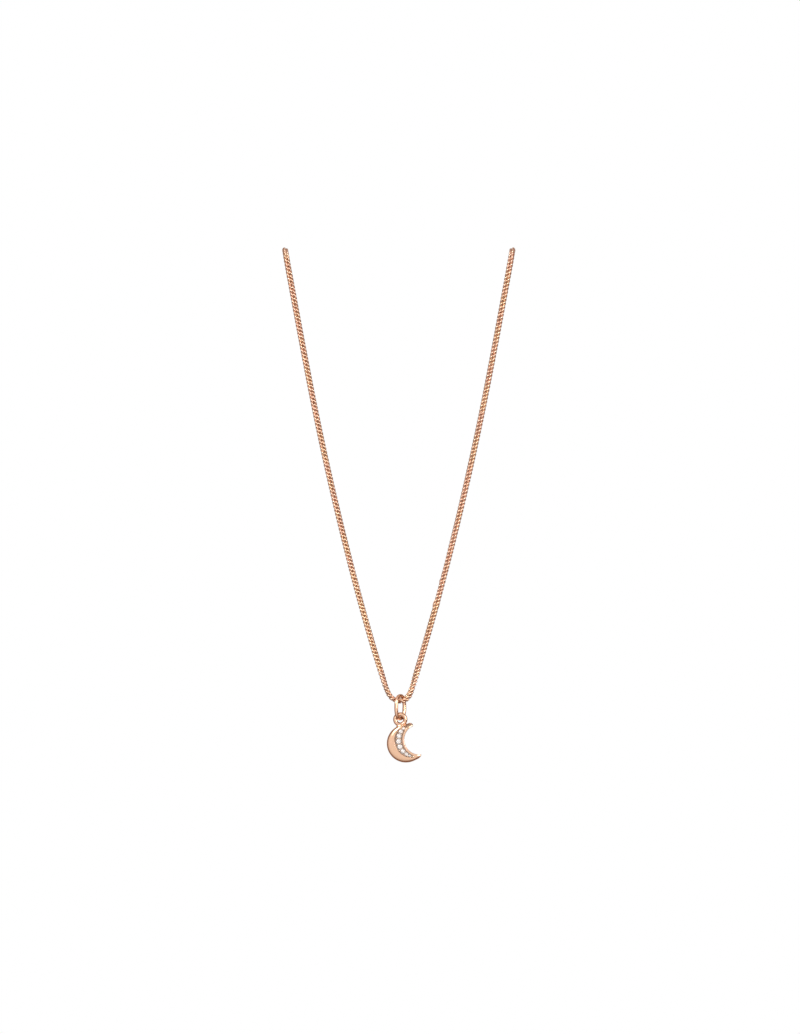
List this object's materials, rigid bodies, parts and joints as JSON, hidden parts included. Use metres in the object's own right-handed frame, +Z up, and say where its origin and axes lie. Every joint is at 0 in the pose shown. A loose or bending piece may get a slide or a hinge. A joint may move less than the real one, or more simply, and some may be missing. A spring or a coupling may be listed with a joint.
{
  "type": "pendant necklace",
  "caption": "Fine rose gold curb chain hung in a V, closed by a bolt ring clasp, with an oval bail ring and a crescent moon charm set along its inner edge with round clear stones.",
  "frame": {"origin": "middle of the axis of the thin bar, rod or pair of hooks that the folded chain hangs over; the bar is not part of the necklace", "axes": "+Z up, -Y towards the front, where the crescent and its stones face; +X to the right as seen from the front"},
  "size_m": [0.0498, 0.0096, 0.1101],
  "materials": {
    "rose_gold": "polished rose gold plate over brass",
    "chain_gold": "bright rose gold plate over brass, slanted curb links",
    "stone": "clear faceted round stones",
    "spring_steel": "bright drawn spring wire"
  },
  "bodies": {
    "necklace_chain": {"chain": "chain_gold", "chain_end_link_upper": "rose_gold", "chain_end_link_lower": "rose_gold"},
    "jump_ring": {"clasp_jump_ring": "rose_gold"},
    "clasp": {"clasp_ring_body": "rose_gold", "clasp_tail_loop": "rose_gold", "clasp_spring": "spring_steel"},
    "bolt": {"clasp_bolt": "rose_gold"},
    "catch": {"catch_ring": "rose_gold"},
    "bail": {"bail_ring": "rose_gold"},
    "charm": {"charm_loop": "rose_gold", "crescent_body": "rose_gold", "stone_1": "stone", "stone_2": "stone", "stone_3": "stone", "stone_4": "stone", "stone_5": "stone", "stone_6": "stone", "stone_7": "stone", "stone_8": "stone"}
  },
  "joints": [
    {"name": "bail_swing", "type": "hinge", "parent": "necklace_chain", "child": "bail", "pos_m": [0.00032, -0.0026, -0.09375], "axis": [1, 0, 0], "range_deg": [-60, 60]},
    {"name": "charm_sway", "type": "hinge", "parent": "bail", "child": "charm", "pos_m": [0.00032, -0.0026, -0.09748], "axis": [0.5299, 0.848, 0], "range_deg": [-40, 40]},
    {"name": "jump_ring_twist", "type": "hinge", "parent": "necklace_chain", "child": "jump_ring", "pos_m": [0.00862, 0.0026, -0.071], "axis": [0.2622, 0, 0.965], "range_deg": [-15, 15]},
    {"name": "clasp_twist", "type": "hinge", "parent": "jump_ring", "child": "clasp", "pos_m": [0.00862, 0.0026, -0.071], "axis": [0.2622, 0, 0.965], "range_deg": [-15, 15]},
    {"name": "catch_ring_twist", "type": "hinge", "parent": "clasp", "child": "catch", "pos_m": [0.00862, 0.0026, -0.071], "axis": [0.2622, 0, 0.965], "range_deg": [-8, 8]},
    {"name": "bolt_open", "type": "hinge", "parent": "clasp", "child": "bolt", "pos_m": [0.00862, 0.0026, -0.071], "axis": [-0.965, 0, 0.2622], "range_deg": [0, 62], "stiffness_Nm_per_rad": 0.0005, "springref_deg": -17.19, "deforming": ["clasp_spring"]}
  ]
}
